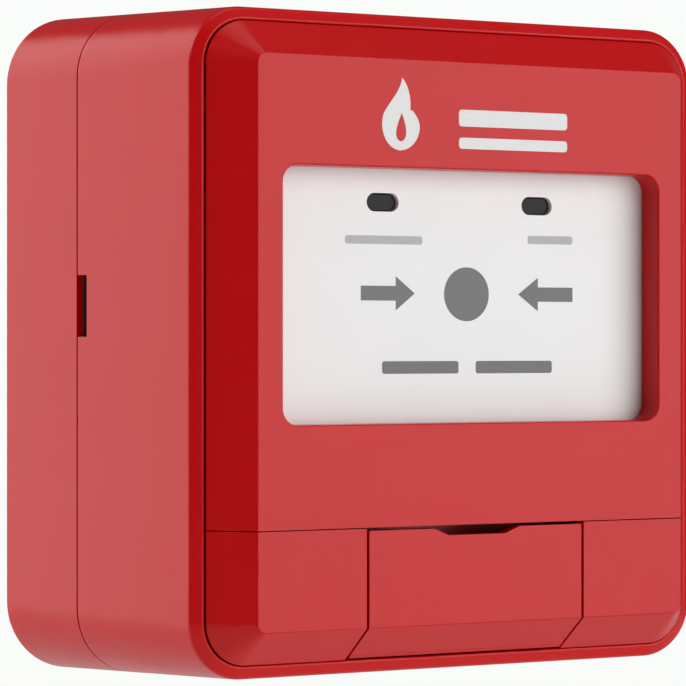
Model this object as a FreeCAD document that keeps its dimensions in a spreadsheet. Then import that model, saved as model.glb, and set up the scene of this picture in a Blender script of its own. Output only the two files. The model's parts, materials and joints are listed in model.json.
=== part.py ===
import FreeCAD, Part

# Manual call point in a surface box, millimetres.
# X runs to the right, the front looks along -Y, Z is up.
# The origin is the middle of the back face, so the wall plane is Y = 0.
# Every "depth" is counted from the front face towards the wall.

import math
import os
import re

import Sketcher

X_AXIS = FreeCAD.Vector(1, 0, 0)
Y_AXIS = FreeCAD.Vector(0, 1, 0)
Z_AXIS = FreeCAD.Vector(0, 0, 1)

doc = FreeCAD.newDocument("call_point")
sheet = doc.addObject("Spreadsheet::Sheet", "dims")

DIMS = {
    # Outer form
    "total_depth": 59.5,
    "ridge_width": 83.0,
    "ridge_height": 90.2,
    "ridge_radius": 6.3,
    "ridge_depth": 5.9,
    "bevel_inset": 4.87,
    "rim_inset": 2.0,
    "rim_depth": 6.9,
    "draft": 2.5,
    "seam_depth": 38.0,
    "seam_gap": 0.35,
    "shell_wall": 2.2,
    "rear_wall": 2.5,
    "back_edge": 0.8,
    "ridge_edge": 0.35,
    "rim_edge": 0.9,
    "face_edge": 0.25,
    "window_edge": 0.3,
    # Cover of the front: bezel above the split, fascia below it
    "cover_gap": 0.05,
    "cover_wall": 2.0,
    "skirt_gap": 0.25,
    "skirt_depth": 8.5,
    "split_z": -26.07,
    "split_gap": 0.15,
    "split_shelf": 1.6,
    # Window and the panel that is pressed
    "window_width": 64.9,
    "window_height": 36.25,
    "window_radius": 2.4,
    "window_z": 6.67,
    "window_rib": 1.5,
    "window_rib_depth": 4.1,
    "panel_depth": 4.3,
    "panel_thick": 2.0,
    "panel_overlap": 1.55,
    "panel_radius": 3.0,
    "post_x": 30.0,
    "post_high_z": 21.5,
    "post_low_z": -8.0,
    "post_radius": 1.5,
    "post_end": 24.5,
    "run_gap": 0.05,
    "pusher_x": 0.0,
    "pusher_z": 7.0,
    "pusher_radius": 2.2,
    "pusher_end": 17.9,
    # Indicator lights
    "light_x": 13.4,
    "light_z": 20.06,
    "light_slot_width": 5.4,
    "light_slot_height": 2.65,
    "light_pipe_width": 5.0,
    "light_pipe_height": 2.25,
    "light_pipe_front": 4.9,
    "light_pipe_end": 24.0,
    "led_radius": 1.5,
    "led_tip": 26.0,
    # Flap, its hinge and the tray behind it
    "flap_half": 18.35,
    "flap_gap": 0.45,
    "flap_top": -26.45,
    "flap_cut": 5.65,
    "notch_bottom": 4.9,
    "notch_top": 7.4,
    "notch_height": 1.0,
    "hinge_z": -43.6,
    "hinge_depth": 6.0,
    "knuckle_radius": 1.25,
    "hinge_pin_radius": 0.6,
    "hinge_pin_half": 19.9,
    "tray_wall": 2.0,
    "tray_depth": 9.0,
    "tray_floor": 1.5,
    "tray_bottom": -44.5,
    # Chassis and circuit board
    "chassis_depth": 20.0,
    "chassis_thick": 2.0,
    "chassis_width": 80.0,
    "chassis_height": 87.0,
    "chassis_radius": 6.0,
    "boss_x": 37.0,
    "boss_z": 40.6,
    "boss_radius": 4.0,
    "boss_hole": 1.5,
    "boss_hole_front": 11.0,
    "screw_clear": 0.2,
    "screw_head": 2.6,
    "screw_head_thick": 1.6,
    "board_depth": 30.0,
    "board_thick": 1.6,
    "board_width": 74.0,
    "board_height": 80.0,
    "standoff_x": 32.0,
    "standoff_z": 31.0,
    "standoff_radius": 3.0,
    "board_screw": 1.2,
    "board_screw_length": 6.0,
    # Switch behind the panel
    "switch_width": 12.8,
    "switch_height": 6.5,
    "switch_front": 21.0,
    "plunger_radius": 1.4,
    "plunger_front": 18.1,
    "plunger_end": 23.5,
    "plunger_bore_end": 27.0,
    # Key-operated reset
    "reset_x": 9.0,
    "reset_z": -33.5,
    "barrel_radius": 4.0,
    "barrel_front": 7.6,
    "barrel_end": 23.6,
    "collar_radius": 5.2,
    "collar_depth": 10.7,
    "collar_thick": 1.2,
    "key_slot_width": 2.2,
    "key_slot_length": 5.6,
    "key_slot_depth": 4.0,
    "groove_radius": 3.5,
    "clip_depth": 22.1,
    "clip_thick": 0.8,
    "clip_radius": 5.4,
    "cam_depth": 17.9,
    "cam_thick": 1.8,
    "cam_low": 4.9,
    "cam_lift": 2.0,
    "slider_depth": 17.8,
    "slider_thick": 2.0,
    "slider_window": 7.2,
    "slider_frame": 1.6,
    "slider_nub": 1.0,
    "slider_gap": 0.3,
    "slider_stem_half": 2.5,
    "slider_top": -15.0,
    "catch_half": 3.0,
    "catch_bottom": -14.3,
    "catch_end": 16.0,
    "spring_x": -1.7,
    "spring_wire": 0.4,
    "spring_radius": 0.9,
    "spring_low": -33.0,
    "spring_high": -25.0,
    "return_spring_x": 24.0,
    "return_spring_z": 4.0,
    "return_spring_radius": 2.4,
    # Telephone jack behind the flap
    "jack_x": -9.5,
    "jack_z": -33.5,
    "jack_bore": 3.2,
    "jack_nose": 4.5,
    "slot_half": 0.3,
    "slot_reach": 1.5,
    "slot_depth": 0.8,
    "hole_play": 0.4,
    "end_reach": 2.5,
    "edge_search": 0.1,
    "jack_front": 6.8,
    "jack_bore_end": 21.0,
    "jack_body": 10.0,
    "jack_end": 24.0,
    "nut_flats": 11.0,
    "nut_front": 7.2,
    # Terminals
    "terminal_half": 18.0,
    "terminal_depth": 9.0,
    "terminal_low": -34.0,
    "terminal_high": -24.0,
    "terminal_pitch": 5.8,
    "terminal_screw": 1.8,
    "terminal_well": 5.0,
    "terminal_entry": 1.3,
    # Back box
    "wall_screw_x": 30.0,
    "wall_screw_hole": 2.2,
    "cable_z": -20.0,
    "cable_hole": 8.0,
    "grommet_bore": 3.5,
    "grommet_flange": 9.6,
    "grommet_flange_thick": 1.2,
    "tongue_low": 0.9,
    "tongue_high": 9.9,
    "tongue_front": 33.0,
    "tongue_root": 40.0,
    "tongue_end": 46.0,
    "tongue_outer": 42.3,
    "tongue_thick": 1.6,
    "slot_front": 35.1,
    "seal_inset": 1.0,
}

for row, (alias, value) in enumerate(DIMS.items(), start=1):
    sheet.set(f"A{row}", alias)
    sheet.set(f"B{row}", str(value))
    sheet.setAlias(f"B{row}", alias)
doc.recompute()

ALIAS_WORDS = re.compile(r"\b(" + "|".join(sorted(DIMS, key=len, reverse=True)) + r")\b")

# Formulas that several pieces share
RIM_WIDTH = "(ridge_width + 2 * rim_inset)"
RIM_HEIGHT = "(ridge_height + 2 * rim_inset)"
RIM_RADIUS = "(ridge_radius + rim_inset)"
SEAM_GROWTH = "((seam_depth - rim_depth) * tan(draft * 1 deg))"
SEAM_WIDTH = f"({RIM_WIDTH} + 2 * {SEAM_GROWTH})"
SEAM_HEIGHT = f"({RIM_HEIGHT} + 2 * {SEAM_GROWTH})"
SEAM_RADIUS = f"({RIM_RADIUS} + {SEAM_GROWTH})"
HOUSING_END = "(seam_depth - seam_gap)"
PLANE_TOLERANCE = 0.01
TOP_SPLIT = "(split_z + split_gap / 2)"
LOW_SPLIT = "(split_z - split_gap / 2)"
FLAP_OPENING = "(flap_half + flap_gap)"
BEVEL_ANGLE = "atan(bevel_inset / ridge_depth)"
ALL_SIDES = ((-1, -1), (1, -1), (1, 1), (-1, 1))


def bind(formula):
    """Point every sheet alias in a formula at the sheet."""
    return ALIAS_WORDS.sub(r"dims.\1", formula)


def dim(alias):
    """Read one driving dimension."""
    return float(sheet.get(alias))


def signed(sign, formula):
    """The same length to either side of the middle."""
    return f"{sign} * ({formula})"


def finish(thing, label):
    """Give a sub-part the name of its node."""
    thing.Label = label
    return thing


# Part primitives, placed by depth from the front face

def block(name, across, depth, height):
    """A box from its (low, high) formulas in X, in depth and in Z."""
    thing = doc.addObject("Part::Box", name)
    for prop, (low, high) in zip(("Length", "Width", "Height"), (across, depth, height)):
        thing.setExpression(prop, bind(f"({high}) - ({low})"))
    lows = (across[0], f"({depth[0]}) - total_depth", height[0])
    for axis, low in zip("xyz", lows):
        thing.setExpression(f"Placement.Base.{axis}", bind(low))
    return thing


def rod(name, centre, depth, radius):
    """A cylinder along the depth, from its X and Z formulas."""
    thing = doc.addObject("Part::Cylinder", name)
    thing.Placement.Rotation = FreeCAD.Rotation(X_AXIS, -90)
    thing.setExpression("Radius", bind(radius))
    thing.setExpression("Height", bind(f"({depth[1]}) - ({depth[0]})"))
    bases = (centre[0], f"({depth[0]}) - total_depth", centre[1])
    for axis, base in zip("xyz", bases):
        thing.setExpression(f"Placement.Base.{axis}", bind(base))
    return thing


def cross_rod(name, half, depth, z, radius):
    """A cylinder along X, centred on the middle plane."""
    thing = doc.addObject("Part::Cylinder", name)
    thing.Placement.Rotation = FreeCAD.Rotation(Y_AXIS, 90)
    thing.setExpression("Radius", bind(radius))
    thing.setExpression("Height", bind(f"2 * ({half})"))
    for axis, base in zip("xyz", (f"-({half})", f"({depth}) - total_depth", z)):
        thing.setExpression(f"Placement.Base.{axis}", bind(base))
    return thing


def fuse(name, pieces):
    """Join pieces into one."""
    thing = doc.addObject("Part::MultiFuse", name)
    thing.Shapes = pieces
    return thing


def cut(name, base, tools):
    """Take every tool away from a base."""
    thing = doc.addObject("Part::Cut", name)
    thing.Base = base
    thing.Tool = tools[0] if len(tools) == 1 else fuse(f"{name}_tools", tools)
    return thing


def common(name, first, second):
    """Keep what two pieces share."""
    thing = doc.addObject("Part::MultiCommon", name)
    thing.Shapes = [first, second]
    return thing


def group(name, pieces):
    """Several separate solids in one sub-part."""
    thing = doc.addObject("Part::Compound", name)
    thing.Links = pieces
    return thing


# PartDesign bodies

def new_body(name):
    return doc.addObject("PartDesign::Body", name)


def front_plane(body):
    """The body's own XZ plane, whose normal points out of the front."""
    return next(f for f in body.Origin.OriginFeatures if f.Role == "XZ_Plane")


def outline(body, name, depth, size, radius, centre=("0", "0")):
    """A rounded rectangle, drawn at a depth from the front face."""
    sketch = body.newObject("Sketcher::SketchObject", name)
    sketch.AttachmentSupport = [(front_plane(body), "")]
    sketch.MapMode = "FlatFace"
    half_w, half_h, corner = 20.0, 15.0, 2.0
    in_w, in_h = half_w - corner, half_h - corner
    points = [
        ((-in_w, -half_h), (in_w, -half_h)),
        ((half_w, -in_h), (half_w, in_h)),
        ((in_w, half_h), (-in_w, half_h)),
        ((-half_w, in_h), (-half_w, -in_h)),
    ]
    for (x_a, y_a), (x_b, y_b) in points:
        sketch.addGeometry(Part.LineSegment(FreeCAD.Vector(x_a, y_a, 0), FreeCAD.Vector(x_b, y_b, 0)))
    for index, (side_x, side_y) in enumerate(((1, -1), (1, 1), (-1, 1), (-1, -1))):
        middle = FreeCAD.Vector(side_x * in_w, side_y * in_h, 0)
        start = math.radians(90 * index - 90)
        circle = Part.Circle(middle, Z_AXIS, corner)
        sketch.addGeometry(Part.ArcOfCircle(circle, start, start + math.pi / 2))
    for index in range(4):
        arc = index + 4
        sketch.addConstraint(Sketcher.Constraint("Tangent", index, 2, arc, 1))
        sketch.addConstraint(Sketcher.Constraint("Tangent", arc, 2, (index + 1) % 4, 1))
    for index, kind in enumerate(("Horizontal", "Vertical", "Horizontal", "Vertical")):
        sketch.addConstraint(Sketcher.Constraint(kind, index))
    for arc in (5, 6, 7):
        sketch.addConstraint(Sketcher.Constraint("Equal", 4, arc))
    sketch.addConstraint(Sketcher.Constraint("Symmetric", 4, 3, 6, 3, -1, 1))
    driving = (
        ("corner", Sketcher.Constraint("Radius", 4, corner), radius),
        ("width", Sketcher.Constraint("DistanceX", 3, 1, 1, 1, 2 * half_w), size[0]),
        ("height", Sketcher.Constraint("DistanceY", 0, 1, 2, 1, 2 * half_h), size[1]),
    )
    for label, constraint, formula in driving:
        number = sketch.addConstraint(constraint)
        sketch.renameConstraint(number, label)
        sketch.setExpression(f"Constraints.{label}", bind(formula))
    offsets = (centre[0], centre[1], f"total_depth - ({depth})")
    for axis, formula in zip("xyz", offsets):
        sketch.setExpression(f"AttachmentOffset.Base.{axis}", bind(formula))
    return sketch


def extrude(body, kind, name, sketch, length, to_wall, taper=None):
    """A pad or pocket from an outline, towards the wall or towards the front."""
    feature = body.newObject(f"PartDesign::{kind}", name)
    feature.Profile = sketch
    feature.setExpression("Length", bind(length))
    feature.Reversed = to_wall if kind == "Pad" else not to_wall
    if taper:
        feature.setExpression("TaperAngle", bind(taper))
    sketch.Visibility = False
    return feature


def round_loop(body, name, depth, radius):
    """Round the loop of edges that lies in one depth plane of the body's last feature."""
    doc.recompute()
    feature = body.Tip
    level = depth - dim("total_depth")
    picked = []
    for number, edge in enumerate(feature.Shape.Edges, start=1):
        box = edge.BoundBox
        if abs(box.YMin - level) < PLANE_TOLERANCE and abs(box.YMax - level) < PLANE_TOLERANCE:
            picked.append(f"Edge{number}")
    fillet = body.newObject("PartDesign::Fillet", name)
    fillet.Base = (feature, picked)
    fillet.setExpression("Radius", bind(radius))
    return fillet


def slab(name, depth, size, radius, centre=("0", "0")):
    """A rounded plate between two depths, as a body of its own."""
    body = new_body(name)
    sketch = outline(body, f"{name}_outline", depth[0], size, radius, centre)
    extrude(body, "Pad", f"{name}_pad", sketch, f"({depth[1]}) - ({depth[0]})", True)
    return body


# Housing and back box

def make_housing():
    """Drafted front housing with its rim, corner bosses and release slots."""
    body = new_body("housing_body")
    side = outline(body, "housing_side", "rim_depth", (RIM_WIDTH, RIM_HEIGHT), RIM_RADIUS)
    extrude(body, "Pad", "housing_walls", side, f"{HOUSING_END} - rim_depth", True, "draft")
    rim = outline(body, "housing_rim", "rim_depth", (RIM_WIDTH, RIM_HEIGHT), RIM_RADIUS)
    rise = "(rim_depth - ridge_depth)"
    extrude(body, "Pad", "housing_chamfer", rim, rise, False, f"-atan(rim_inset / {rise})")
    hollow = outline(
        body, "housing_hollow", "ridge_depth", ("ridge_width", "ridge_height"), "ridge_radius")
    inner_taper = f"atan(({SEAM_GROWTH} + rim_inset - shell_wall) / (seam_depth - ridge_depth))"
    extrude(body, "Pocket", "housing_cavity", hollow, "seam_depth - ridge_depth", True, inner_taper)
    round_loop(body, "housing_rim_edge", dim("rim_depth"), "rim_edge")
    round_loop(body, "housing_ridge_edge", dim("ridge_depth"), "ridge_edge")
    bosses = []
    holes = []
    for number, (side_x, side_z) in enumerate(ALL_SIDES, start=1):
        centre = (signed(side_x, "boss_x"), signed(side_z, "boss_z"))
        bosses.append(rod(f"housing_boss_{number}", centre, ("skirt_depth", "chassis_depth"),
                          "boss_radius"))
        holes.append(rod(f"housing_boss_hole_{number}", centre,
                         ("boss_hole_front", "chassis_depth + 1"), "boss_hole"))
    for side_x in (-1, 1):
        inner, outer = sorted((side_x * 38, side_x * 50))
        holes.append(block(f"release_slot_{'left' if side_x < 0 else 'right'}",
                           (str(inner), str(outer)), ("slot_front", "seam_depth"),
                           ("tongue_low", "tongue_high")))
    shell = fuse("housing_solid", [body] + bosses)
    return finish(cut("housing_cut", shell, holes), "housing_shell")


def make_back_box():
    """Drafted wall box with its snap tongues, wall screw holes and cable hole."""
    body = new_body("box_body")
    side = outline(body, "box_side", "seam_depth", (SEAM_WIDTH, SEAM_HEIGHT), SEAM_RADIUS)
    extrude(body, "Pad", "box_block", side, "total_depth - seam_depth", True, "draft")
    inner = (f"{SEAM_WIDTH} - 2 * shell_wall", f"{SEAM_HEIGHT} - 2 * shell_wall")
    hollow = outline(body, "box_hollow", "seam_depth", inner, f"{SEAM_RADIUS} - shell_wall")
    extrude(body, "Pocket", "box_cavity", hollow, "total_depth - rear_wall - seam_depth", True,
            "draft")
    round_loop(body, "box_back_edge", dim("total_depth"), "back_edge")
    pieces = [body]
    height = ("tongue_low + 0.2", "tongue_high - 0.2")
    for name, side_x in (("left", -1), ("right", 1)):
        blade = ("tongue_outer - tongue_thick", "tongue_outer")
        root = ("tongue_outer - tongue_thick", "tongue_outer + 1")
        if side_x < 0:
            blade = (f"-({blade[1]})", f"-({blade[0]})")
            root = (f"-({root[1]})", f"-({root[0]})")
        pieces.append(block(f"tongue_{name}", blade, ("tongue_front", "tongue_end"), height))
        pieces.append(block(f"tongue_root_{name}", root, ("tongue_root", "tongue_end"), height))
    holes = [rod(f"wall_screw_hole_{number}", (signed(side_x, "wall_screw_x"), "0"),
                 ("total_depth - rear_wall - 1", "total_depth + 1"), "wall_screw_hole")
             for number, side_x in enumerate((-1, 1), start=1)]
    holes.append(rod("cable_hole_cut", ("0", "cable_z"),
                     ("total_depth - rear_wall - 1", "total_depth + 1"), "cable_hole"))
    return finish(cut("box_cut", fuse("box_solid", pieces), holes), "back_box")


def make_seal():
    """Flat rubber ring in the seam between housing and back box."""
    depth = (HOUSING_END, "seam_depth")
    outer = slab("seal_outer", depth,
                 (f"{SEAM_WIDTH} - 2 * seal_inset", f"{SEAM_HEIGHT} - 2 * seal_inset"),
                 f"{SEAM_RADIUS} - seal_inset")
    inner = slab("seal_inner", (f"{HOUSING_END} - 1", "seam_depth + 1"),
                 (f"{SEAM_WIDTH} - 2 * shell_wall", f"{SEAM_HEIGHT} - 2 * shell_wall"),
                 f"{SEAM_RADIUS} - shell_wall")
    return finish(cut("seal_cut", outer, [inner]), "box_seal")


def make_grommet():
    """Rubber bush that lines the cable hole in the rear wall."""
    centre = ("0", "cable_z")
    inside = "total_depth - rear_wall"
    neck = rod("grommet_neck", centre, (inside, "total_depth"), "cable_hole")
    flange = rod("grommet_flange_disc", centre, (f"{inside} - grommet_flange_thick", inside),
                 "grommet_flange")
    bore = rod("grommet_hole", centre, (f"{inside} - 3", "total_depth + 1"), "grommet_bore")
    return finish(cut("grommet_cut", fuse("grommet_solid", [neck, flange]), [bore]),
                  "cable_grommet")


# Front cover

def cover_form(prefix):
    """The full outer form of the cover: bevelled front and the skirt behind it."""
    body = new_body(f"{prefix}_form")
    size = ("ridge_width - 2 * cover_gap", "ridge_height - 2 * cover_gap")
    face = outline(body, f"{prefix}_ridge", "ridge_depth", size, "ridge_radius - cover_gap")
    extrude(body, "Pad", f"{prefix}_bevel", face, "ridge_depth", False, f"-{BEVEL_ANGLE}")
    round_loop(body, f"{prefix}_face_edge", 0, "face_edge")
    size = ("ridge_width - 2 * skirt_gap", "ridge_height - 2 * skirt_gap")
    skirt = outline(body, f"{prefix}_skirt", "ridge_depth", size, "ridge_radius - skirt_gap")
    extrude(body, "Pad", f"{prefix}_skirt_pad", skirt, "skirt_depth - ridge_depth", True)
    return body


def cover_core(prefix):
    """The hollow behind the cover, which follows the bevel."""
    body = new_body(f"{prefix}_core")
    inset = "2 * (skirt_gap + cover_wall)"
    size = (f"ridge_width - {inset}", f"ridge_height - {inset}")
    radius = "ridge_radius - skirt_gap - cover_wall"
    slope = outline(body, f"{prefix}_core_ridge", "ridge_depth", size, radius)
    extrude(body, "Pad", f"{prefix}_core_bevel", slope, "ridge_depth - cover_wall", False,
            f"-{BEVEL_ANGLE}")
    back = outline(body, f"{prefix}_core_back", "ridge_depth", size, radius)
    extrude(body, "Pad", f"{prefix}_core_skirt", back, "skirt_depth - ridge_depth + 1", True)
    return body


def round_window(bezel):
    """Round the front edge of the window."""
    doc.recompute()
    front = -dim("total_depth")
    reach = dim("window_width") / 2 + dim("edge_search")
    low = dim("window_z") - dim("window_height") / 2 - dim("edge_search")
    picked = []
    for number, edge in enumerate(bezel.Shape.Edges, start=1):
        box = edge.BoundBox
        in_face = abs(box.YMin - front) < PLANE_TOLERANCE and abs(box.YMax - front) < PLANE_TOLERANCE
        if in_face and max(abs(box.XMin), abs(box.XMax)) < reach and box.ZMin > low:
            picked.append((number, dim("window_edge"), dim("window_edge")))
    fillet = doc.addObject("Part::Fillet", "bezel_window_edge")
    fillet.Base = bezel
    fillet.Edges = picked
    return fillet


def make_bezel():
    """Upper cover with the window, its inner rib and the shelf along the split."""
    shell = cut("bezel_shell", cover_form("bezel"), [cover_core("bezel")])
    rib = slab("bezel_rib", ("1", "window_rib_depth"),
               ("window_width + 2 * window_rib", "window_height + 2 * window_rib"),
               "window_radius + window_rib", ("0", "window_z"))
    shelf_bar = block("bezel_shelf_bar", ("-50", "50"), ("1", "skirt_depth"),
                      (TOP_SPLIT, f"{TOP_SPLIT} + split_shelf"))
    shelf = common("bezel_shelf", shelf_bar, cover_form("shelf"))
    window = slab("bezel_window", ("-1", "window_rib_depth + 1"),
                  ("window_width", "window_height"), "window_radius", ("0", "window_z"))
    below = block("bezel_below", ("-50", "50"), ("-1", "skirt_depth + 2"), ("-60", TOP_SPLIT))
    whole = fuse("bezel_solid", [shell, rib, shelf])
    opened = cut("bezel_cut", whole, [window, below])
    return finish(round_window(opened), "front_bezel")


def make_fascia():
    """Lower cover: two cheeks beside the flap, joined by the tray behind it."""
    shell = cut("fascia_shell", cover_form("fascia"), [cover_core("fascia")])
    top = LOW_SPLIT
    outer = f"({FLAP_OPENING} + tray_wall)"
    tray_back = "tray_depth + tray_floor"
    tray = fuse("fascia_tray", [
        block("tray_wall_left", (f"-{outer}", f"-{FLAP_OPENING}"), ("1", tray_back),
              ("tray_bottom", top)),
        block("tray_wall_right", (FLAP_OPENING, outer), ("1", tray_back), ("tray_bottom", top)),
        block("tray_floor_plate", (f"-{outer}", outer), ("tray_depth", tray_back),
              ("tray_bottom", top)),
    ])
    ahead = common("fascia_tray_front", tray, cover_form("tray"))
    behind = common("fascia_tray_back", tray,
                    block("tray_behind", ("-30", "30"), ("skirt_depth - 0.5", "20"), ("-60", "0")))
    opening = block("flap_opening", (f"-{FLAP_OPENING}", FLAP_OPENING), ("-1", "tray_depth"),
                    ("-60", "0"))
    above = block("fascia_above", ("-50", "50"), ("-1", "20"), (LOW_SPLIT, "60"))
    pin = cross_rod("fascia_pin_hole", "hinge_pin_half", "hinge_depth", "hinge_z",
                    "hinge_pin_radius")
    jack = rod("fascia_jack_hole", ("jack_x", "jack_z"), ("tray_depth - 1", "tray_depth + 3"),
               "jack_nose + hole_play / 2")
    barrel = rod("fascia_barrel_hole", ("reset_x", "reset_z"), ("tray_depth - 1", "tray_depth + 3"),
                 "barrel_radius + run_gap")
    whole = fuse("fascia_solid", [shell, ahead, behind])
    return finish(cut("fascia_cut", whole, [opening, above, pin, jack, barrel]), "lower_fascia")


def make_flap():
    """Service flap: front plate, bevel and one long hinge knuckle, with a finger notch."""
    shell = cut("flap_shell", cover_form("flap"), [cover_core("flap")])
    reach = block("flap_reach", ("-flap_half", "flap_half"), ("-1", "flap_cut"),
                  ("-60", "flap_top"))
    plate = common("flap_plate", shell, reach)
    knuckle = cross_rod("flap_knuckle", "flap_half", "hinge_depth", "hinge_z", "knuckle_radius")
    bore = cross_rod("flap_bore", "flap_half + 1", "hinge_depth", "hinge_z",
                     "hinge_pin_radius + run_gap")
    notch = doc.addObject("Part::Wedge", "flap_notch")
    notch.Placement.Rotation = FreeCAD.Rotation(X_AXIS, 90)
    limits = {
        "Xmin": "-notch_bottom", "Xmax": "notch_bottom", "X2min": "-notch_top",
        "X2max": "notch_top", "Ymin": "-notch_height", "Ymax": "0", "Zmin": "-5", "Zmax": "5",
        "Z2min": "-5", "Z2max": "5",
    }
    for prop, formula in limits.items():
        notch.setExpression(prop, bind(formula))
    notch.setExpression("Placement.Base.y", bind("-total_depth"))
    notch.setExpression("Placement.Base.z", bind("flap_top"))
    whole = fuse("flap_solid", [plate, knuckle])
    return finish(cut("flap_cut", whole, [bore, notch]), "service_flap")


def make_hinge_pin():
    """Steel pin held in the cheeks of the fascia."""
    return finish(cross_rod("pin_rod", "hinge_pin_half", "hinge_depth", "hinge_z",
                            "hinge_pin_radius"), "flap_hinge_pin")


# Panel, springs and lights

def light_centres():
    return (("left", ("-light_x", "light_z")), ("right", ("light_x", "light_z")))


def make_panel():
    """Pressed panel with four guide posts, a pusher and the catch arm."""
    back = "panel_depth + panel_thick"
    body = new_body("panel_plate")
    size = ("window_width + 2 * panel_overlap", "window_height + 2 * panel_overlap")
    sketch = outline(body, "panel_outline", "panel_depth", size, "panel_radius",
                     ("0", "window_z"))
    extrude(body, "Pad", "panel_pad", sketch, "panel_thick", True)
    pieces = [body]
    for number, (x_side, z) in enumerate(
            ((-1, "post_low_z"), (1, "post_low_z"), (1, "post_high_z"), (-1, "post_high_z")), 1):
        pieces.append(rod(f"panel_post_{number}", (signed(x_side, "post_x"), z),
                          (back, "post_end"), "post_radius"))
    pieces.append(rod("panel_pusher", ("pusher_x", "pusher_z"), (back, "pusher_end"),
                      "pusher_radius"))
    lowest = "(window_z - window_height / 2 - panel_overlap)"
    across = ("reset_x - catch_half", "reset_x + catch_half")
    pieces.append(block("panel_catch_arm", across, ("panel_depth + 0.5", "catch_end"),
                        (f"{lowest} + 0.3", f"{lowest} + 2")))
    pieces.append(block("panel_catch_barb", across, ("catch_end - 1.4", "catch_end"),
                        ("catch_bottom", f"{lowest} + 1")))
    slots = [slab(f"panel_slot_{name}", ("panel_depth - 1", f"{back} + 1"),
                  ("light_slot_width", "light_slot_height"), "light_slot_height / 2 - 0.01", centre)
             for name, centre in light_centres()]
    return finish(cut("panel_cut", fuse("panel_solid", pieces), slots), "operating_panel")


def coil(name, label, base, turn, length, radius, turns):
    """A helical compression spring of round wire, from its base point along its axis."""
    spine = doc.addObject("Part::Helix", f"{name}_spine")
    spine.Placement.Rotation = turn
    spine.setExpression("Radius", bind(radius))
    spine.setExpression("Height", bind(f"({length}) - 1.2 * spring_wire"))
    spine.setExpression("Pitch", bind(f"(({length}) - 1.2 * spring_wire) / {turns}"))
    wire = doc.addObject("Part::Circle", f"{name}_wire")
    wire.setExpression("Radius", bind("spring_wire / 2"))
    for axis, formula in zip("xyz", base):
        spine.setExpression(f"Placement.Base.{axis}", bind(formula))
    wire.Placement.Rotation = turn.multiply(FreeCAD.Rotation(X_AXIS, 90))
    start = turn.multVec(X_AXIS)
    for axis, formula, part in zip("xyz", base, start):
        wire.setExpression(f"Placement.Base.{axis}", bind(f"({formula}) + {round(part)} * {radius}"))
    sweep = doc.addObject("Part::Sweep", name)
    sweep.Sections = [wire]
    sweep.Spine = (spine, [])
    sweep.Solid = True
    sweep.Frenet = True
    return finish(sweep, label)


def make_panel_springs():
    """Return springs between the chassis and the panel."""
    springs = []
    back = "panel_depth + panel_thick"
    for name, side in (("left", -1), ("right", 1)):
        base = (signed(side, "return_spring_x"),
                f"{back} + 0.6 * spring_wire - total_depth", "return_spring_z")
        springs.append(coil(f"return_spring_{name}", f"panel_spring_{name}", base,
                            FreeCAD.Rotation(X_AXIS, -90), f"chassis_depth - ({back})",
                            "return_spring_radius", 6))
    return springs


def make_lights():
    """Light pipes that end in the panel's slots, and the lamps on the board behind them."""
    nodes = []
    for name, centre in light_centres():
        pipe = slab(f"pipe_{name}", ("light_pipe_front", "light_pipe_end"),
                    ("light_pipe_width", "light_pipe_height"), "light_pipe_height / 2 - 0.01",
                    centre)
        nodes.append(finish(pipe, f"light_pipe_{name}"))
        stem = rod(f"led_stem_{name}", centre, ("led_tip", "board_depth"), "led_radius")
        dome = doc.addObject("Part::Sphere", f"led_dome_{name}")
        dome.setExpression("Radius", bind("led_radius"))
        bases = (centre[0], "led_tip - total_depth", centre[1])
        for axis, formula in zip("xyz", bases):
            dome.setExpression(f"Placement.Base.{axis}", bind(formula))
        nodes.append(finish(fuse(f"led_solid_{name}", [stem, dome]), f"led_{name}"))
    return nodes


# Chassis, board and what they carry

def corner_points(x, z):
    return [(signed(side_x, x), signed(side_z, z)) for side_x, side_z in ALL_SIDES]


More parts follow.
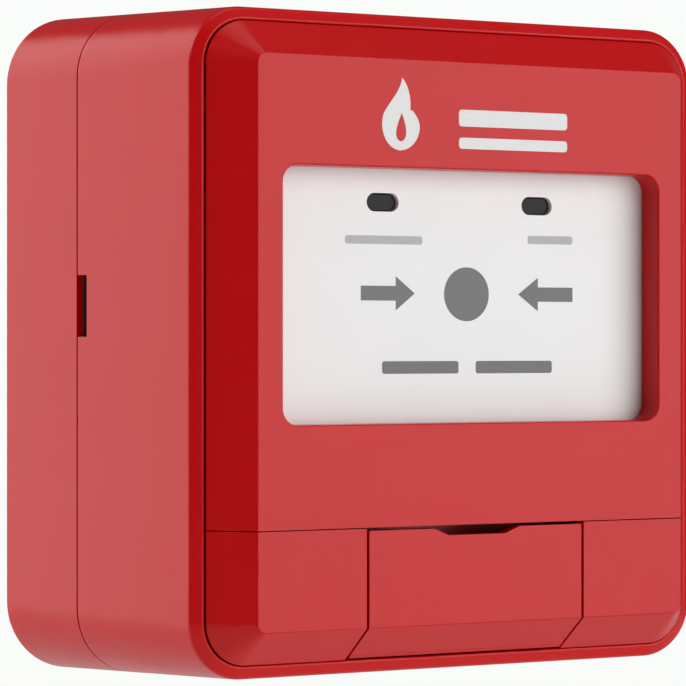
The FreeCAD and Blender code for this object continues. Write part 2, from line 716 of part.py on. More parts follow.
def make_chassis():
    """Inner frame: guides the panel and slider, carries the board on four standoffs."""
    back = "chassis_depth + chassis_thick"
    through = ("chassis_depth - 1", f"{back} + 1")
    plate = slab("chassis_plate_body", ("chassis_depth", back),
                 ("chassis_width", "chassis_height"), "chassis_radius")
    pieces = [plate]
    holes = []
    for number, centre in enumerate(corner_points("standoff_x", "standoff_z"), 1):
        pieces.append(rod(f"standoff_{number}", centre, (back, "board_depth"), "standoff_radius"))
        holes.append(rod(f"standoff_hole_{number}", centre,
                         ("board_depth - board_screw_length", "board_depth + 1"), "board_screw"))
    for number, centre in enumerate(corner_points("boss_x", "boss_z"), 1):
        holes.append(rod(f"chassis_hole_{number}", centre, through, "boss_hole + screw_clear"))
    for number, (side, z) in enumerate(
            ((-1, "post_low_z"), (1, "post_low_z"), (1, "post_high_z"), (-1, "post_high_z")), 1):
        holes.append(rod(f"post_guide_{number}", (signed(side, "post_x"), z), through,
                         "post_radius + run_gap"))
    for name, centre in light_centres():
        holes.append(slab(f"pipe_hole_{name}", through, ("light_pipe_width", "light_pipe_height"),
                          "light_pipe_height / 2 - 0.01", centre))
    holes.append(rod("barrel_guide", ("reset_x", "reset_z"), through, "barrel_radius + run_gap"))
    holes.append(block("switch_hole", ("-switch_width / 2 - hole_play", "switch_width / 2 + hole_play"),
                       through, ("pusher_z - switch_height / 2 - hole_play",
                                 "pusher_z + switch_height / 2 + hole_play")))
    jack_half = "(jack_body / 2 + hole_play)"
    holes.append(block("jack_hole", (f"jack_x - {jack_half}", f"jack_x + {jack_half}"), through,
                       (f"jack_z - {jack_half}", f"jack_z + {jack_half}")))
    low = "slider_window + slider_frame"
    rail_front = "slider_depth - 1.2"
    for name, side in (("left", -1), ("right", 1)):
        inner, outer, lip = f"({low} + 0.1)", f"({low} + 1.1)", f"({low} - 0.8)"
        rail = (f"reset_x + {inner}", f"reset_x + {outer}")
        hook = (f"reset_x + {lip}", f"reset_x + {outer}")
        if side < 0:
            rail = (f"reset_x - {outer}", f"reset_x - {inner}")
            hook = (f"reset_x - {outer}", f"reset_x - {lip}")
        reach = ("reset_z - 8", "reset_z - 2.5")
        pieces.append(block(f"slider_rail_{name}", rail, (rail_front, "chassis_depth"), reach))
        pieces.append(block(f"slider_lip_{name}", hook, (rail_front, "slider_depth - 0.1"), reach))
    pieces.append(block("spring_ledge", ("spring_x - 1.4", "spring_x + 1.4"),
                        (rail_front, "chassis_depth"), ("spring_low - 1.5", "spring_low")))
    return finish(cut("chassis_cut", fuse("chassis_solid", pieces), holes), "chassis_plate")


def screw_set(prefix, label, centres, shank, depth, under_head):
    """Pan-head screws driven from behind, one solid each, with a cross recess."""
    screws = []
    for number, centre in enumerate(centres, 1):
        top = f"({under_head}) + screw_head_thick"
        head = rod(f"{prefix}_head_{number}", centre, (under_head, top), "screw_head")
        body = rod(f"{prefix}_shank_{number}", centre, (depth, under_head), shank)
        x, z = centre
        slots = [
            block(f"{prefix}_slot_a_{number}", (f"{x} - slot_reach", f"{x} + slot_reach"),
                  (f"{top} - slot_depth", f"{top} + 1"), (f"{z} - slot_half", f"{z} + slot_half")),
            block(f"{prefix}_slot_b_{number}", (f"{x} - slot_half", f"{x} + slot_half"),
                  (f"{top} - slot_depth", f"{top} + 1"), (f"{z} - slot_reach", f"{z} + slot_reach")),
        ]
        screws.append(cut(f"{prefix}_{number}", fuse(f"{prefix}_solid_{number}", [head, body]),
                          slots))
    return finish(group(f"{prefix}_group", screws), label)


def make_board():
    """Circuit board on the chassis standoffs."""
    back = "board_depth + board_thick"
    board = slab("board_body", ("board_depth", back), ("board_width", "board_height"), "2")
    holes = [rod(f"board_hole_{number}", centre, ("board_depth - 1", f"{back} + 1"),
                 "board_screw + screw_clear")
             for number, centre in enumerate(corner_points("standoff_x", "standoff_z"), 1)]
    return finish(cut("board_cut", board, holes), "circuit_board")


def make_switch():
    """Switch body on the board, and the plunger that the pusher moves."""
    body = block("switch_block", ("-switch_width / 2", "switch_width / 2"),
                 ("switch_front", "board_depth"),
                 ("pusher_z - switch_height / 2", "pusher_z + switch_height / 2"))
    bore = rod("switch_bore", ("pusher_x", "pusher_z"), ("switch_front - 1", "plunger_bore_end"),
               "plunger_radius + run_gap")
    plunger = rod("plunger_rod", ("pusher_x", "pusher_z"), ("plunger_front", "plunger_end"),
                  "plunger_radius")
    return [finish(cut("switch_cut", body, [bore]), "switch_body"),
            finish(plunger, "switch_plunger")]


def make_slider():
    """Latch slider: a frame round the cam with a nub under it, a stem and a spring lug."""
    depth = ("slider_depth", "slider_depth + slider_thick")
    outer = "(slider_window + slider_frame)"
    window_top = "(reset_z + slider_window + cam_lift)"
    window_low = "(reset_z - slider_window - 0.2)"
    frame = block("slider_frame_block", (f"reset_x - {outer}", f"reset_x + {outer}"), depth,
                  (f"{window_low} - slider_frame", f"{window_top} + slider_frame"))
    window = block("slider_window_cut", ("reset_x - slider_window", "reset_x + slider_window"),
                   ("slider_depth - 1", "slider_depth + slider_thick + 1"),
                   (window_low, window_top))
    nub = block("slider_nub_block", ("reset_x - slider_nub / 2", "reset_x + slider_nub / 2"), depth,
                (f"{window_low} - 0.5", "reset_z - cam_low - slider_gap"))
    stem = block("slider_stem", ("reset_x - slider_stem_half", "reset_x + slider_stem_half"),
                 depth, (f"{window_top} + 0.5", "slider_top"))
    lug = block("slider_lug", ("spring_x - 1.3", f"reset_x - {outer} + 0.5"), depth,
                ("spring_high", "spring_high + 1.5"))
    ring = cut("slider_ring", frame, [window])
    return finish(fuse("slider_solid", [ring, nub, stem, lug]), "latch_slider")


def make_latch_spring():
    """Spring that lifts the slider back against the cam."""
    base = ("spring_x", "slider_depth + 0.9 - total_depth", "spring_low + 0.6 * spring_wire")
    return coil("latch_coil", "latch_spring", base, FreeCAD.Rotation(), "spring_high - spring_low",
                "spring_radius", 6)


def make_barrel():
    """Reset barrel: turned with a bladed key, held by its collar and a clip."""
    centre = ("reset_x", "reset_z")
    core = rod("barrel_core", centre, ("barrel_front", "barrel_end"), "barrel_radius")
    collar = rod("barrel_collar", centre, ("collar_depth", "collar_depth + collar_thick"),
                 "collar_radius")
    slot = block("key_slot", ("reset_x - key_slot_width / 2", "reset_x + key_slot_width / 2"),
                 ("barrel_front - 1", "barrel_front + key_slot_depth"),
                 ("reset_z - key_slot_length / 2", "reset_z + key_slot_length / 2"))
    depth = ("clip_depth", "clip_depth + clip_thick")
    groove = cut("barrel_groove", rod("groove_outer", centre, depth, "barrel_radius + 1"),
                 [rod("groove_inner", centre, depth, "groove_radius")])
    return finish(cut("barrel_cut", fuse("barrel_solid", [core, collar]), [slot, groove]),
                  "reset_barrel")


def make_clip():
    """Open spring clip in the barrel's groove."""
    centre = ("reset_x", "reset_z")
    depth = ("clip_depth", "clip_depth + clip_thick")
    disc = rod("clip_disc", centre, depth, "clip_radius")
    hole = rod("clip_hole", centre, ("clip_depth - 1", "clip_depth + 2"), "groove_radius")
    mouth = block("clip_mouth", ("reset_x - 2.4", "reset_x + 2.4"),
                  ("clip_depth - 1", "clip_depth + 2"), ("reset_z", "reset_z + 8"))
    return finish(cut("clip_cut", disc, [hole, mouth]), "barrel_clip")


def make_cam():
    """Spiral cam: its edge rises evenly over a quarter turn, then falls back."""
    low, lift = dim("cam_low"), dim("cam_lift")
    rise_span, top_span, fall_span = math.radians(100), math.radians(25), math.radians(40)
    rate = lift / (math.pi / 2)
    start = -math.pi / 2 - math.radians(5)

    def at(angle, radius):
        return FreeCAD.Vector(radius * math.cos(start + angle), 0, radius * math.sin(start + angle))

    steps = 20
    angles = [rise_span * step / steps for step in range(steps + 1)]
    spiral = Part.BSplineCurve()
    spiral.interpolate([at(angle, low + rate * max(angle - math.radians(5), 0)) for angle in angles])
    top = low + rate * (rise_span - math.radians(5))
    fall_start = rise_span + top_span
    end = 2 * math.pi
    crest = Part.Arc(at(rise_span, top), at(rise_span + top_span / 2, top), at(fall_start, top))
    fall = Part.LineSegment(at(fall_start, top), at(fall_start + fall_span, low))
    middle = (fall_start + fall_span + end) / 2
    base = Part.Arc(at(fall_start + fall_span, low), at(middle, low), at(end, low))
    edges = [curve.toShape() for curve in (spiral, crest, fall, base)]
    face = Part.Face(Part.Wire(edges))
    disc = face.extrude(FreeCAD.Vector(0, dim("cam_thick"), 0))
    hole = Part.makeCylinder(dim("barrel_radius"), 10, FreeCAD.Vector(0, -5, 0), Y_AXIS)
    cam = doc.addObject("Part::Feature", "cam")
    cam.Shape = disc.cut(hole)
    cam.Placement.Base = FreeCAD.Vector(
        dim("reset_x"), dim("cam_depth") - dim("total_depth"), dim("reset_z"))
    return finish(cam, "reset_cam")


def make_jack():
    """Telephone jack clamped to the tray floor by its hexagon nut."""
    centre = ("jack_x", "jack_z")
    tray_back = "tray_depth + tray_floor"
    half = "(jack_body / 2)"
    nose = rod("jack_nose_rod", centre, ("jack_front", f"{tray_back} + 1"), "jack_nose")
    body = block("jack_block", (f"jack_x - {half}", f"jack_x + {half}"), (tray_back, "jack_end"),
                 (f"jack_z - {half}", f"jack_z + {half}"))
    bore = rod("jack_bore_cut", centre, ("jack_front - 1", "jack_bore_end"), "jack_bore")
    jack = cut("jack_cut", fuse("jack_solid", [nose, body]), [bore])
    hexagon = doc.addObject("Part::Prism", "nut_prism")
    hexagon.Polygon = 6
    hexagon.Placement.Rotation = FreeCAD.Rotation(X_AXIS, -90)
    hexagon.setExpression("Circumradius", bind("nut_flats / sqrt(3)"))
    hexagon.setExpression("Height", bind("tray_depth - nut_front"))
    for axis, formula in zip("xyz", ("jack_x", "nut_front - total_depth", "jack_z")):
        hexagon.setExpression(f"Placement.Base.{axis}", bind(formula))
    hole = rod("nut_hole", centre, ("nut_front - 1", "tray_depth + 1"), "jack_nose")
    return [finish(jack, "phone_jack_body"), finish(cut("nut_cut", hexagon, [hole]),
                                                   "phone_jack_nut")]


def make_terminals():
    """Terminal block behind the board and its clamp screws."""
    back = "board_depth + board_thick"
    end = f"{back} + terminal_depth"
    body = block("terminal_bar", ("-terminal_half", "terminal_half"), (back, end),
                 ("terminal_low", "terminal_high"))
    holes = []
    screws = []
    for number in range(6):
        x = f"({number - 2.5} * terminal_pitch)"
        z = "((terminal_low + terminal_high) / 2 + 1)"
        floor = f"({end} - terminal_well)"
        holes.append(rod(f"terminal_well_{number}", (x, z), (floor, f"{end} + 1"),
                         "terminal_screw"))
        entry = block(f"terminal_entry_{number}", (f"{x} - terminal_entry", f"{x} + terminal_entry"),
                      (f"{back} + 1.2", f"{back} + 1.2 + 2 * terminal_entry"),
                      ("terminal_low - 1", "terminal_low + 4"))
        holes.append(entry)
        screw = rod(f"terminal_screw_rod_{number}", (x, z), (floor, f"{end} - 0.8"),
                    "terminal_screw")
        slot = block(f"terminal_screw_slot_{number}", (f"{x} - end_reach", f"{x} + end_reach"),
                     (f"{end} - 1.6", f"{end} + 1"), (f"{z} - slot_half", f"{z} + slot_half"))
        screws.append(cut(f"terminal_screw_{number}", screw, [slot]))
    return [finish(cut("terminal_cut", body, holes), "terminal_block"),
            finish(group("terminal_screw_group", screws), "terminal_screws")]


nodes = [
    make_housing(), make_back_box(), make_seal(), make_grommet(), make_bezel(), make_fascia(),
    make_flap(), make_hinge_pin(), make_panel(), *make_panel_springs(), *make_lights(),
    make_chassis(),
    screw_set("chassis_screw", "chassis_screws", corner_points("boss_x", "boss_z"), "boss_hole",
              "boss_hole_front + 1", "chassis_depth + chassis_thick"),
    make_board(),
    screw_set("board_fixing", "board_screws", corner_points("standoff_x", "standoff_z"),
              "board_screw", "board_depth - board_screw_length + 1", "board_depth + board_thick"),
    *make_switch(), make_slider(), make_latch_spring(), make_barrel(), make_clip(), make_cam(),
    *make_jack(), *make_terminals(),
]

doc.recompute()
for thing in doc.Objects:
    if {"Invalid", "Error"} & set(thing.State):
        raise RuntimeError(f"{thing.Name} failed: {thing.State}")
for node in nodes:
    if node.Shape.isNull() or not node.Shape.isValid():
        raise RuntimeError(f"{node.Label} has no valid shape")

os.makedirs("parts", exist_ok=True)
for node in nodes:
    box = node.Shape.BoundBox
    node.Shape.exportStep(os.path.join("parts", f"{node.Label}.step"))
    print(f"{node.Label:18} solids {len(node.Shape.Solids)} volume {node.Shape.Volume:9.1f} "
          f"x {box.XMin:7.2f} {box.XMax:7.2f} y {box.YMin:7.2f} {box.YMax:7.2f} "
          f"z {box.ZMin:7.2f} {box.ZMax:7.2f}")
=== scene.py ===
import json
import math

import bmesh
import bpy
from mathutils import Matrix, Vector


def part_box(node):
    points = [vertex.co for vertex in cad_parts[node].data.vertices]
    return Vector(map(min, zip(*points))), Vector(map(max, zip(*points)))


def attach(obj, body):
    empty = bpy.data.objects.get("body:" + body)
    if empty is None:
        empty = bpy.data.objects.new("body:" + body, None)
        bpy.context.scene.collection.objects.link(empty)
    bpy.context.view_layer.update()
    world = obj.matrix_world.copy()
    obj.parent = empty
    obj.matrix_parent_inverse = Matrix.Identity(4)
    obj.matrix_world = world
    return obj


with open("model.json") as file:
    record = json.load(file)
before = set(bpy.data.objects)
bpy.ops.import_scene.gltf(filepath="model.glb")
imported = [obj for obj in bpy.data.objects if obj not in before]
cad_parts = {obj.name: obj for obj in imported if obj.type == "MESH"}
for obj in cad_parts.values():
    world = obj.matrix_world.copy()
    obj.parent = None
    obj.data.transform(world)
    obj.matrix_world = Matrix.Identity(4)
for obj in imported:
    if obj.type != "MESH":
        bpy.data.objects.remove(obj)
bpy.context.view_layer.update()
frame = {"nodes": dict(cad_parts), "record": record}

MM = 0.001
NODES = frame["nodes"]
SCENE = bpy.context.scene

# Places taken from the CAD boxes; the floor lies well below the object
FACE_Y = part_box("front_bezel")[0].y
PANEL_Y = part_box("operating_panel")[0].y
FLOOR_DROP = 260 * MM
FLOOR_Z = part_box("back_box")[0].z - FLOOR_DROP


# Node helpers

def new_material(name, metallic=0.0, ior=1.5, gloss=0.5):
    """An empty Principled material, its node tree and its shader."""
    material = bpy.data.materials.new(name)
    material.use_nodes = True
    tree = material.node_tree
    shader = tree.nodes["Principled BSDF"]
    shader.inputs["Metallic"].default_value = metallic
    shader.inputs["IOR"].default_value = ior
    shader.inputs["Specular IOR Level"].default_value = gloss
    return material, tree, shader


def noise(tree, scale, detail=4.0, roughness=0.55, stretch=(1, 1, 1)):
    """Solid noise in the object's own space, in cells per metre."""
    place = tree.nodes.new("ShaderNodeTexCoord")
    mapping = tree.nodes.new("ShaderNodeMapping")
    mapping.inputs["Scale"].default_value = stretch
    texture = tree.nodes.new("ShaderNodeTexNoise")
    texture.inputs["Scale"].default_value = scale
    texture.inputs["Detail"].default_value = detail
    texture.inputs["Roughness"].default_value = roughness
    tree.links.new(place.outputs["Object"], mapping.inputs["Vector"])
    tree.links.new(mapping.outputs["Vector"], texture.inputs["Vector"])
    return texture.outputs["Fac"]


def spread(tree, source, low, high, at=(0.1, 0.9)):
    """Map a noise value to a range."""
    node = tree.nodes.new("ShaderNodeMapRange")
    node.inputs["From Min"].default_value = at[0]
    node.inputs["From Max"].default_value = at[1]
    node.inputs["To Min"].default_value = low
    node.inputs["To Max"].default_value = high
    tree.links.new(source, node.inputs["Value"])
    return node.outputs["Result"]


def two_tone(tree, source, first, second):
    """Blend two colours by a noise value."""
    ramp = tree.nodes.new("ShaderNodeValToRGB")
    ramp.color_ramp.elements[0].position = 0.1
    ramp.color_ramp.elements[1].position = 0.9
    ramp.color_ramp.elements[0].color = (*first, 1)
    ramp.color_ramp.elements[1].color = (*second, 1)
    tree.links.new(source, ramp.inputs["Fac"])
    return ramp.outputs["Color"]


def bump(tree, shader, source, depth, chain=None):
    """Relief of a real depth, after any relief before it."""
    node = tree.nodes.new("ShaderNodeBump")
    node.inputs["Strength"].default_value = 1.0
    node.inputs["Distance"].default_value = depth
    tree.links.new(source, node.inputs["Height"])
    if chain:
        tree.links.new(chain, node.inputs["Normal"])
    tree.links.new(node.outputs["Normal"], shader.inputs["Normal"])
    return node.outputs["Normal"]


def scaled(color, factor):
    return tuple(channel * factor for channel in color)


# Materials

def moulded_plastic(name, color, rough, grain=0.35 * MM, relief=0.0012 * MM, mottle=0.05,
                    gloss=0.5):
    """Injection-moulded plastic: fine spark-eroded grain, faint flow and uneven polish."""
    material, tree, shader = new_material(name, gloss=gloss)
    flow = noise(tree, 45, detail=3)
    tree.links.new(two_tone(tree, flow, scaled(color, 1 - mottle), scaled(color, 1 + mottle)),
                   shader.inputs["Base Color"])
    polish = noise(tree, 160, detail=2)
    tree.links.new(spread(tree, polish, rough - 0.03, rough + 0.03), shader.inputs["Roughness"])
    wave = bump(tree, shader, noise(tree, 40, detail=0), 0.003 * MM)
    bump(tree, shader, noise(tree, 1 / grain, detail=2), relief, wave)
    return material


def ink(name, color, rough=0.5):
    """Screen-printed ink with a slightly uneven film."""
    material, tree, shader = new_material(name, ior=1.45)
    film = noise(tree, 900, detail=4)
    tree.links.new(two_tone(tree, film, scaled(color, 0.94), scaled(color, 1.05)),
                   shader.inputs["Base Color"])
    tree.links.new(spread(tree, film, rough - 0.06, rough + 0.06), shader.inputs["Roughness"])
    bump(tree, shader, noise(tree, 4000, detail=2), 0.001 * MM)
    return material


def metal(name, color, rough, stretch=(1, 1, 1), scale=2500, relief=0.002 * MM):
    """Metal with fine tool marks along one direction and slight dulling."""
    material, tree, shader = new_material(name, metallic=1.0)
    marks = noise(tree, scale, detail=3, stretch=stretch)
    dulling = noise(tree, 220, detail=4)
    tree.links.new(two_tone(tree, dulling, scaled(color, 0.86), color), shader.inputs["Base Color"])
    tree.links.new(spread(tree, marks, rough - 0.07, rough + 0.09), shader.inputs["Roughness"])
    bump(tree, shader, marks, relief)
    return material


def rubber(name):
    """Matt black rubber with a dusty bloom."""
    material, tree, shader = new_material(name, ior=1.48)
    bloom = noise(tree, 300, detail=6, roughness=0.7)
    tree.links.new(two_tone(tree, bloom, (0.012, 0.012, 0.012), (0.035, 0.034, 0.033)),
                   shader.inputs["Base Color"])
    tree.links.new(spread(tree, bloom, 0.6, 0.85), shader.inputs["Roughness"])
    bump(tree, shader, noise(tree, 3500, detail=3), 0.006 * MM)
    return material


def smoked_lens(name):
    """Dark polished light window with a faint moulded swirl."""
    material, tree, shader = new_material(name, ior=1.49, gloss=0.15)
    swirl = noise(tree, 500, detail=2)
    tree.links.new(two_tone(tree, swirl, (0.006, 0.006, 0.007), (0.012, 0.011, 0.012)),
                   shader.inputs["Base Color"])
    tree.links.new(spread(tree, swirl, 0.24, 0.34), shader.inputs["Roughness"])
    bump(tree, shader, swirl, 0.003 * MM)
    return material


def circuit_mask(name):
    """Green solder mask over copper tracks that run along X and Z."""
    material, tree, shader = new_material(name, ior=1.5)
    across = noise(tree, 420, detail=0, stretch=(1, 1, 0.08))
    along = noise(tree, 420, detail=0, stretch=(0.08, 1, 1))
    mix = tree.nodes.new("ShaderNodeMath")
    mix.operation = "MAXIMUM"
    tree.links.new(across, mix.inputs[0])
    tree.links.new(along, mix.inputs[1])
    tracks = spread(tree, mix.outputs["Value"], 0, 1, at=(0.56, 0.6))
    tree.links.new(two_tone(tree, tracks, (0.008, 0.07, 0.03), (0.02, 0.15, 0.06)),
                   shader.inputs["Base Color"])
    tree.links.new(spread(tree, tracks, 0.35, 0.28, at=(0, 1)), shader.inputs["Roughness"])
    bump(tree, shader, tracks, 0.02 * MM)
    return material


def floor_paint(name):
    """Pale matt floor with a barely visible mottle."""
    material, tree, shader = new_material(name, ior=1.4)
    mottle = noise(tree, 6, detail=3)
    tree.links.new(two_tone(tree, mottle, (0.84, 0.845, 0.84), (0.87, 0.875, 0.87)),
                   shader.inputs["Base Color"])
    shader.inputs["Roughness"].default_value = 0.7
    shader.inputs["Emission Color"].default_value = (1, 1, 1, 1)
    shader.inputs["Emission Strength"].default_value = 0.05
    return material


RED = (0.53, 0.0006, 0.002)
LOOKS = {
    "red_plastic": moulded_plastic("red_plastic_look", RED, 0.30, gloss=0.27),
    "white_plastic": moulded_plastic("white_plastic_look", (0.78, 0.78, 0.775), 0.45, mottle=0.012),
    "black_plastic": moulded_plastic("black_plastic_look", (0.022, 0.022, 0.024), 0.42),
    "terminal_green": moulded_plastic("terminal_green_look", (0.03, 0.22, 0.08), 0.4),
    "lamp_body": moulded_plastic("lamp_look", (0.62, 0.05, 0.04), 0.2),
    "dark_lens": smoked_lens("dark_lens_look"),
    "black_rubber": rubber("rubber_look"),
    "steel": metal("steel_look", (0.62, 0.62, 0.63), 0.32, stretch=(1, 0.1, 1)),
    "spring_steel": metal("spring_look", (0.66, 0.66, 0.67), 0.22, scale=4000),
    "brass": metal("brass_look", (0.80, 0.60, 0.28), 0.28, stretch=(1, 0.05, 1)),
    "plated_nut": metal("nut_look", (0.74, 0.74, 0.73), 0.2, stretch=(1, 0.2, 1)),
    "board_green": circuit_mask("board_look"),
}
DARK_INK = ink("dark_ink", (0.145, 0.145, 0.148))
PALE_INK = ink("pale_ink", (0.70, 0.70, 0.70), 0.42)
GREY_INK = ink("grey_ink", (0.42, 0.42, 0.42))


# CAD pieces: their materials and softly rounded moulded edges

EDGE = {
    "housing_shell": 0.28, "back_box": 0.28, "front_bezel": 0.07, "lower_fascia": 0.07,
    "service_flap": 0.08, "operating_panel": 0.12, "light_pipe_left": 0.12,
    "light_pipe_right": 0.12, "phone_jack_nut": 0.12, "reset_barrel": 0.1, "cable_grommet": 0.2,
}


def soften(piece, radius):
    """Round the sharp edges by a real radius."""
    weld = piece.modifiers.new("weld", "WELD")
    weld.merge_threshold = 0.002 * MM
    round_off = piece.modifiers.new("edge_radius", "BEVEL")
    round_off.width = radius * MM
    round_off.segments = 3
    round_off.limit_method = "ANGLE"
    round_off.angle_limit = math.radians(24)
    round_off.miter_outer = "MITER_ARC"
    round_off.use_clamp_overlap = True
    even = piece.modifiers.new("flat_faces", "WEIGHTED_NORMAL")
    even.mode = "FACE_AREA"
    even.weight = 100


def dress(node, slot):
    """Give a CAD node its look."""
    piece = NODES[node]
    piece.data.materials.clear()
    piece.data.materials.append(LOOKS[slot])
    for polygon in piece.data.polygons:
        polygon.use_smooth = True
    if node in EDGE:
        soften(piece, EDGE[node])


for entry in frame["record"]["subparts"]:
    dress(entry["node"], entry["material_slot"])


# Printed marks: thin films just proud of the surface they lie on

FILM = 0.02 * MM


def film(name, loops, surface_y, look, slot, body):
    """A flat printed mark from closed loops of (x, z) points; later loops are holes."""
    curve = bpy.data.curves.new(f"{name}_outline", "CURVE")
    curve.dimensions = "2D"
    curve.fill_mode = "BOTH"
    for loop in loops:
        spline = curve.splines.new("POLY")
        spline.points.add(len(loop) - 1)
        for point, (x, z) in zip(spline.points, loop):
            point.co = (x, z, 0, 1)
        spline.use_cyclic_u = True
    flat = bpy.data.objects.new(f"{name}_flat", curve)
    mesh = bpy.data.meshes.new_from_object(flat)
    bpy.data.objects.remove(flat)
    grid = bmesh.new()
    grid.from_mesh(mesh)
    for vertex in grid.verts:
        x, z, _ = vertex.co
        vertex.co = (x, surface_y - FILM, z)
    faces = list(grid.faces)
    solid = bmesh.ops.extrude_face_region(grid, geom=faces)
    for item in solid["geom"]:
        if isinstance(item, bmesh.types.BMVert):
            item.co.y = surface_y - FILM / 20
    bmesh.ops.recalc_face_normals(grid, faces=grid.faces)
    mesh = bpy.data.meshes.new(name)
    grid.to_mesh(mesh)
    grid.free()
    mesh.materials.append(look)
    piece = bpy.data.objects.new(name, mesh)
    SCENE.collection.objects.link(piece)
    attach(piece, body)
    return piece


def arc_points(centre, radius, start, end, steps=12):
    """Points along an arc, angles in degrees."""
    angles = [math.radians(start + (end - start) * i / steps) for i in range(steps + 1)]
    return [(centre[0] + radius * math.cos(a), centre[1] + radius * math.sin(a)) for a in angles]


def bar_loop(low, high, corner):
    """A rounded bar between two (x, z) corners."""
    (x_a, z_a), (x_b, z_b) = low, high
    loop = []
    for centre, start in (((x_b - corner, z_a + corner), -90), ((x_b - corner, z_b - corner), 0),
                          ((x_a + corner, z_b - corner), 90), ((x_a + corner, z_a + corner), 180)):
        loop += arc_points(centre, corner, start, start + 90, 5)
    return loop


def arrow_loop(tip, tail, neck, z, head_half, shaft_half):
    """An arrow along X from tail to tip."""
    return [(tip, z), (neck, z + head_half), (neck, z + shaft_half), (tail, z + shaft_half),
            (tail, z - shaft_half), (neck, z - shaft_half), (neck, z - head_half)]


def bezier(points, steps=10):
    """Sample a closed chain of (point, handle in, handle out) by cubic curves."""
    loop = []
    for (start, _, leave), (end, arrive, _) in zip(points, points[1:] + points[:1]):
        for i in range(steps):
            t = i / steps
            weights = ((1 - t) ** 3, 3 * t * (1 - t) ** 2, 3 * t * t * (1 - t), t ** 3)
            loop.append(tuple(sum(w * p[axis] for w, p in zip(weights, (start, leave, arrive, end)))
                              for axis in (0, 1)))
    return loop


def placed(loop, centre, scale):
    return [((centre[0] + x * scale) * MM, (centre[1] + z * scale) * MM) for x, z in loop]


# A plain flame with a drop-shaped heart, in a unit square
FLAME = bezier([
    ((0.05, 1.0), (0.18, 0.86), (0.02, 0.72)),
    ((-0.42, 0.22), (-0.22, 0.52), (-0.56, -0.02)),
    ((0.0, -0.62), (-0.46, -0.58), (0.46, -0.58)),
    ((0.46, 0.10), (0.60, -0.10), (0.36, 0.26)),
    ((0.26, 0.28), (0.30, 0.30), (0.30, 0.62)),
])
HEART = bezier([
    ((0.04, 0.22), (0.10, 0.08), (-0.02, 0.08)),
    ((0.02, -0.42), (-0.26, -0.36), (0.28, -0.36)),
])


def make_marks():
    """Dot, arrows and bars on the panel; flame and bars on the bezel."""
    dot = placed(arc_points((0, 0), 1, 0, 354, 59), (1.0, 7.05), 3.9)
    film("dot_mark", [dot], PANEL_Y, DARK_INK, "black_plastic", "panel")
    arrows = {"left": (-7.95, -17.1, -11.2), "right": (10.1, 19.85, 13.6)}
    for name, (tip, tail, neck) in arrows.items():
        loop = placed(arrow_loop(tip, tail, neck, 7.1, 2.45, 1.05), (0, 0), 1)
        film(f"arrow_mark_{name}", [loop], PANEL_Y, DARK_INK, "black_plastic", "panel")
    bars = {
        "caption_left": ((-19.75, 14.1), (-6.65, 15.3)),
        "caption_right": ((11.8, 14.5), (19.8, 15.7)),
        "press_bar_left": ((-13.5, -4.4), (-0.4, -2.6)),
        "press_bar_right": ((2.6, -4.4), (16.1, -2.6)),
    }
    for name, (low, high) in bars.items():
        look = GREY_INK if name.startswith("caption") else DARK_INK
        loop = placed(bar_loop(low, high, 0.35), (0, 0), 1)
        film(name, [loop], PANEL_Y, look, "black_plastic", "panel")
    film("flame_mark", [placed(FLAME, (-13.2, 31.2), 6.4), placed(HEART, (-13.2, 31.2), 6.4)],
         FACE_Y, PALE_INK, "white_plastic", "base")
    for number, (z_low, z_high) in enumerate(((31.0, 33.4), (27.8, 29.4)), 1):
        loop = placed(bar_loop((-3.2, z_low), (15.8, z_high), 0.5), (0, 0), 1)
        film(f"title_bar_{number}", [loop], FACE_Y, PALE_INK, "white_plastic", "base")


make_marks()


# Stage, light and camera

def make_floor():
    grid = bmesh.new()
    bmesh.ops.create_grid(grid, x_segments=4, y_segments=4, size=1.4)
    mesh = bpy.data.meshes.new("floor")
    grid.to_mesh(mesh)
    grid.free()
    mesh.materials.append(floor_paint("floor_look"))
    floor = bpy.data.objects.new("floor", mesh)
    floor.location = (0, 0, FLOOR_Z)
    SCENE.collection.objects.link(floor)


YAW = math.radians(32)
FORWARD = Vector((math.sin(YAW), math.cos(YAW), 0))
RIGHT = Vector((math.cos(YAW), -math.sin(YAW), 0))
CAMERA_BACK = 0.50230
CAMERA_LEFT = 0.01930


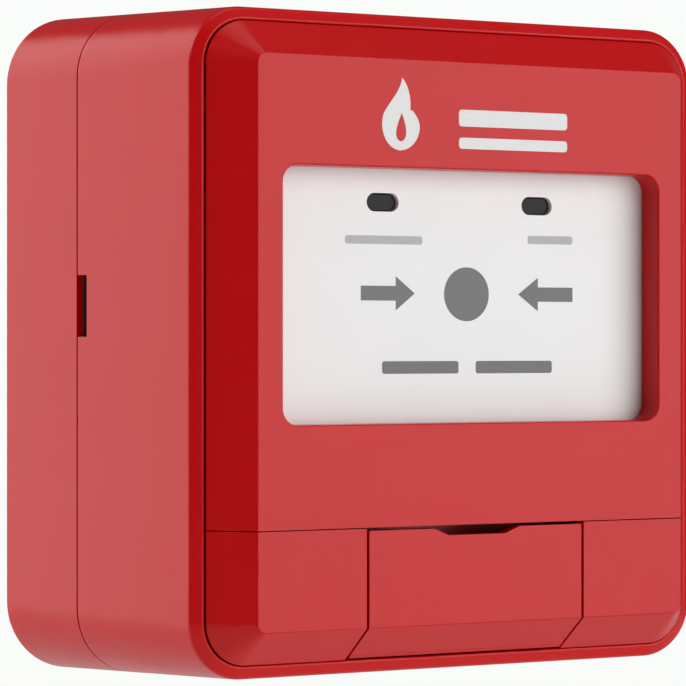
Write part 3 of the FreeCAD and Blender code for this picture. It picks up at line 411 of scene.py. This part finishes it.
def make_camera():
    """Level camera to the left of the front, 0.5 m away."""
    data = bpy.data.cameras.new("camera")
    data.lens = 183.66
    data.sensor_width = 36
    data.clip_start = 0.01
    camera = bpy.data.objects.new("camera", data)
    face = Vector((0, FACE_Y, 0))
    camera.location = face - CAMERA_BACK * FORWARD - CAMERA_LEFT * RIGHT
    camera.rotation_euler = (math.radians(90), 0, -YAW)
    SCENE.collection.objects.link(camera)
    SCENE.camera = camera


def soft_box(name, direction, distance, size, power):
    """A large soft area light that faces the object."""
    data = bpy.data.lights.new(name, "AREA")
    data.shape = "RECTANGLE"
    data.size, data.size_y = size
    data.energy = power
    light = bpy.data.objects.new(name, data)
    light.location = Vector(direction).normalized() * distance
    light.rotation_euler = (-light.location).to_track_quat("-Z", "Y").to_euler()
    SCENE.collection.objects.link(light)
    return light


def make_world():
    """Pale surroundings that the camera sees, and a dim grey fill for everything else."""
    world = bpy.data.worlds.new("studio")
    world.use_nodes = True
    tree = world.node_tree
    seen = tree.nodes["Background"]
    seen.inputs["Color"].default_value = (0.955, 0.975, 0.95, 1)
    fill = tree.nodes.new("ShaderNodeBackground")
    fill.inputs["Color"].default_value = (1, 1, 1, 1)
    fill.inputs["Strength"].default_value = 0.1
    path = tree.nodes.new("ShaderNodeLightPath")
    mix = tree.nodes.new("ShaderNodeMixShader")
    tree.links.new(path.outputs["Is Camera Ray"], mix.inputs["Fac"])
    tree.links.new(fill.outputs["Background"], mix.inputs[1])
    tree.links.new(seen.outputs["Background"], mix.inputs[2])
    tree.links.new(mix.outputs["Shader"], tree.nodes["World Output"].inputs["Surface"])
    SCENE.world = world


make_floor()
make_camera()
make_world()
soft_box("front_right_box", (0.53, -0.85, 0.05), 2.0, (2.2, 2.6), 54)
soft_box("left_back_box", (-0.53, 0.85, 0.05), 2.0, (2.2, 2.6), 29)
soft_box("left_top_box", (-0.8, 0.3, 0.65), 2.0, (1.2, 1.2), 24)
soft_box("top_box", (0.1, -0.2, 1.0), 2.2, (1.8, 1.8), 11)
SCENE.view_settings.view_transform = "Standard"
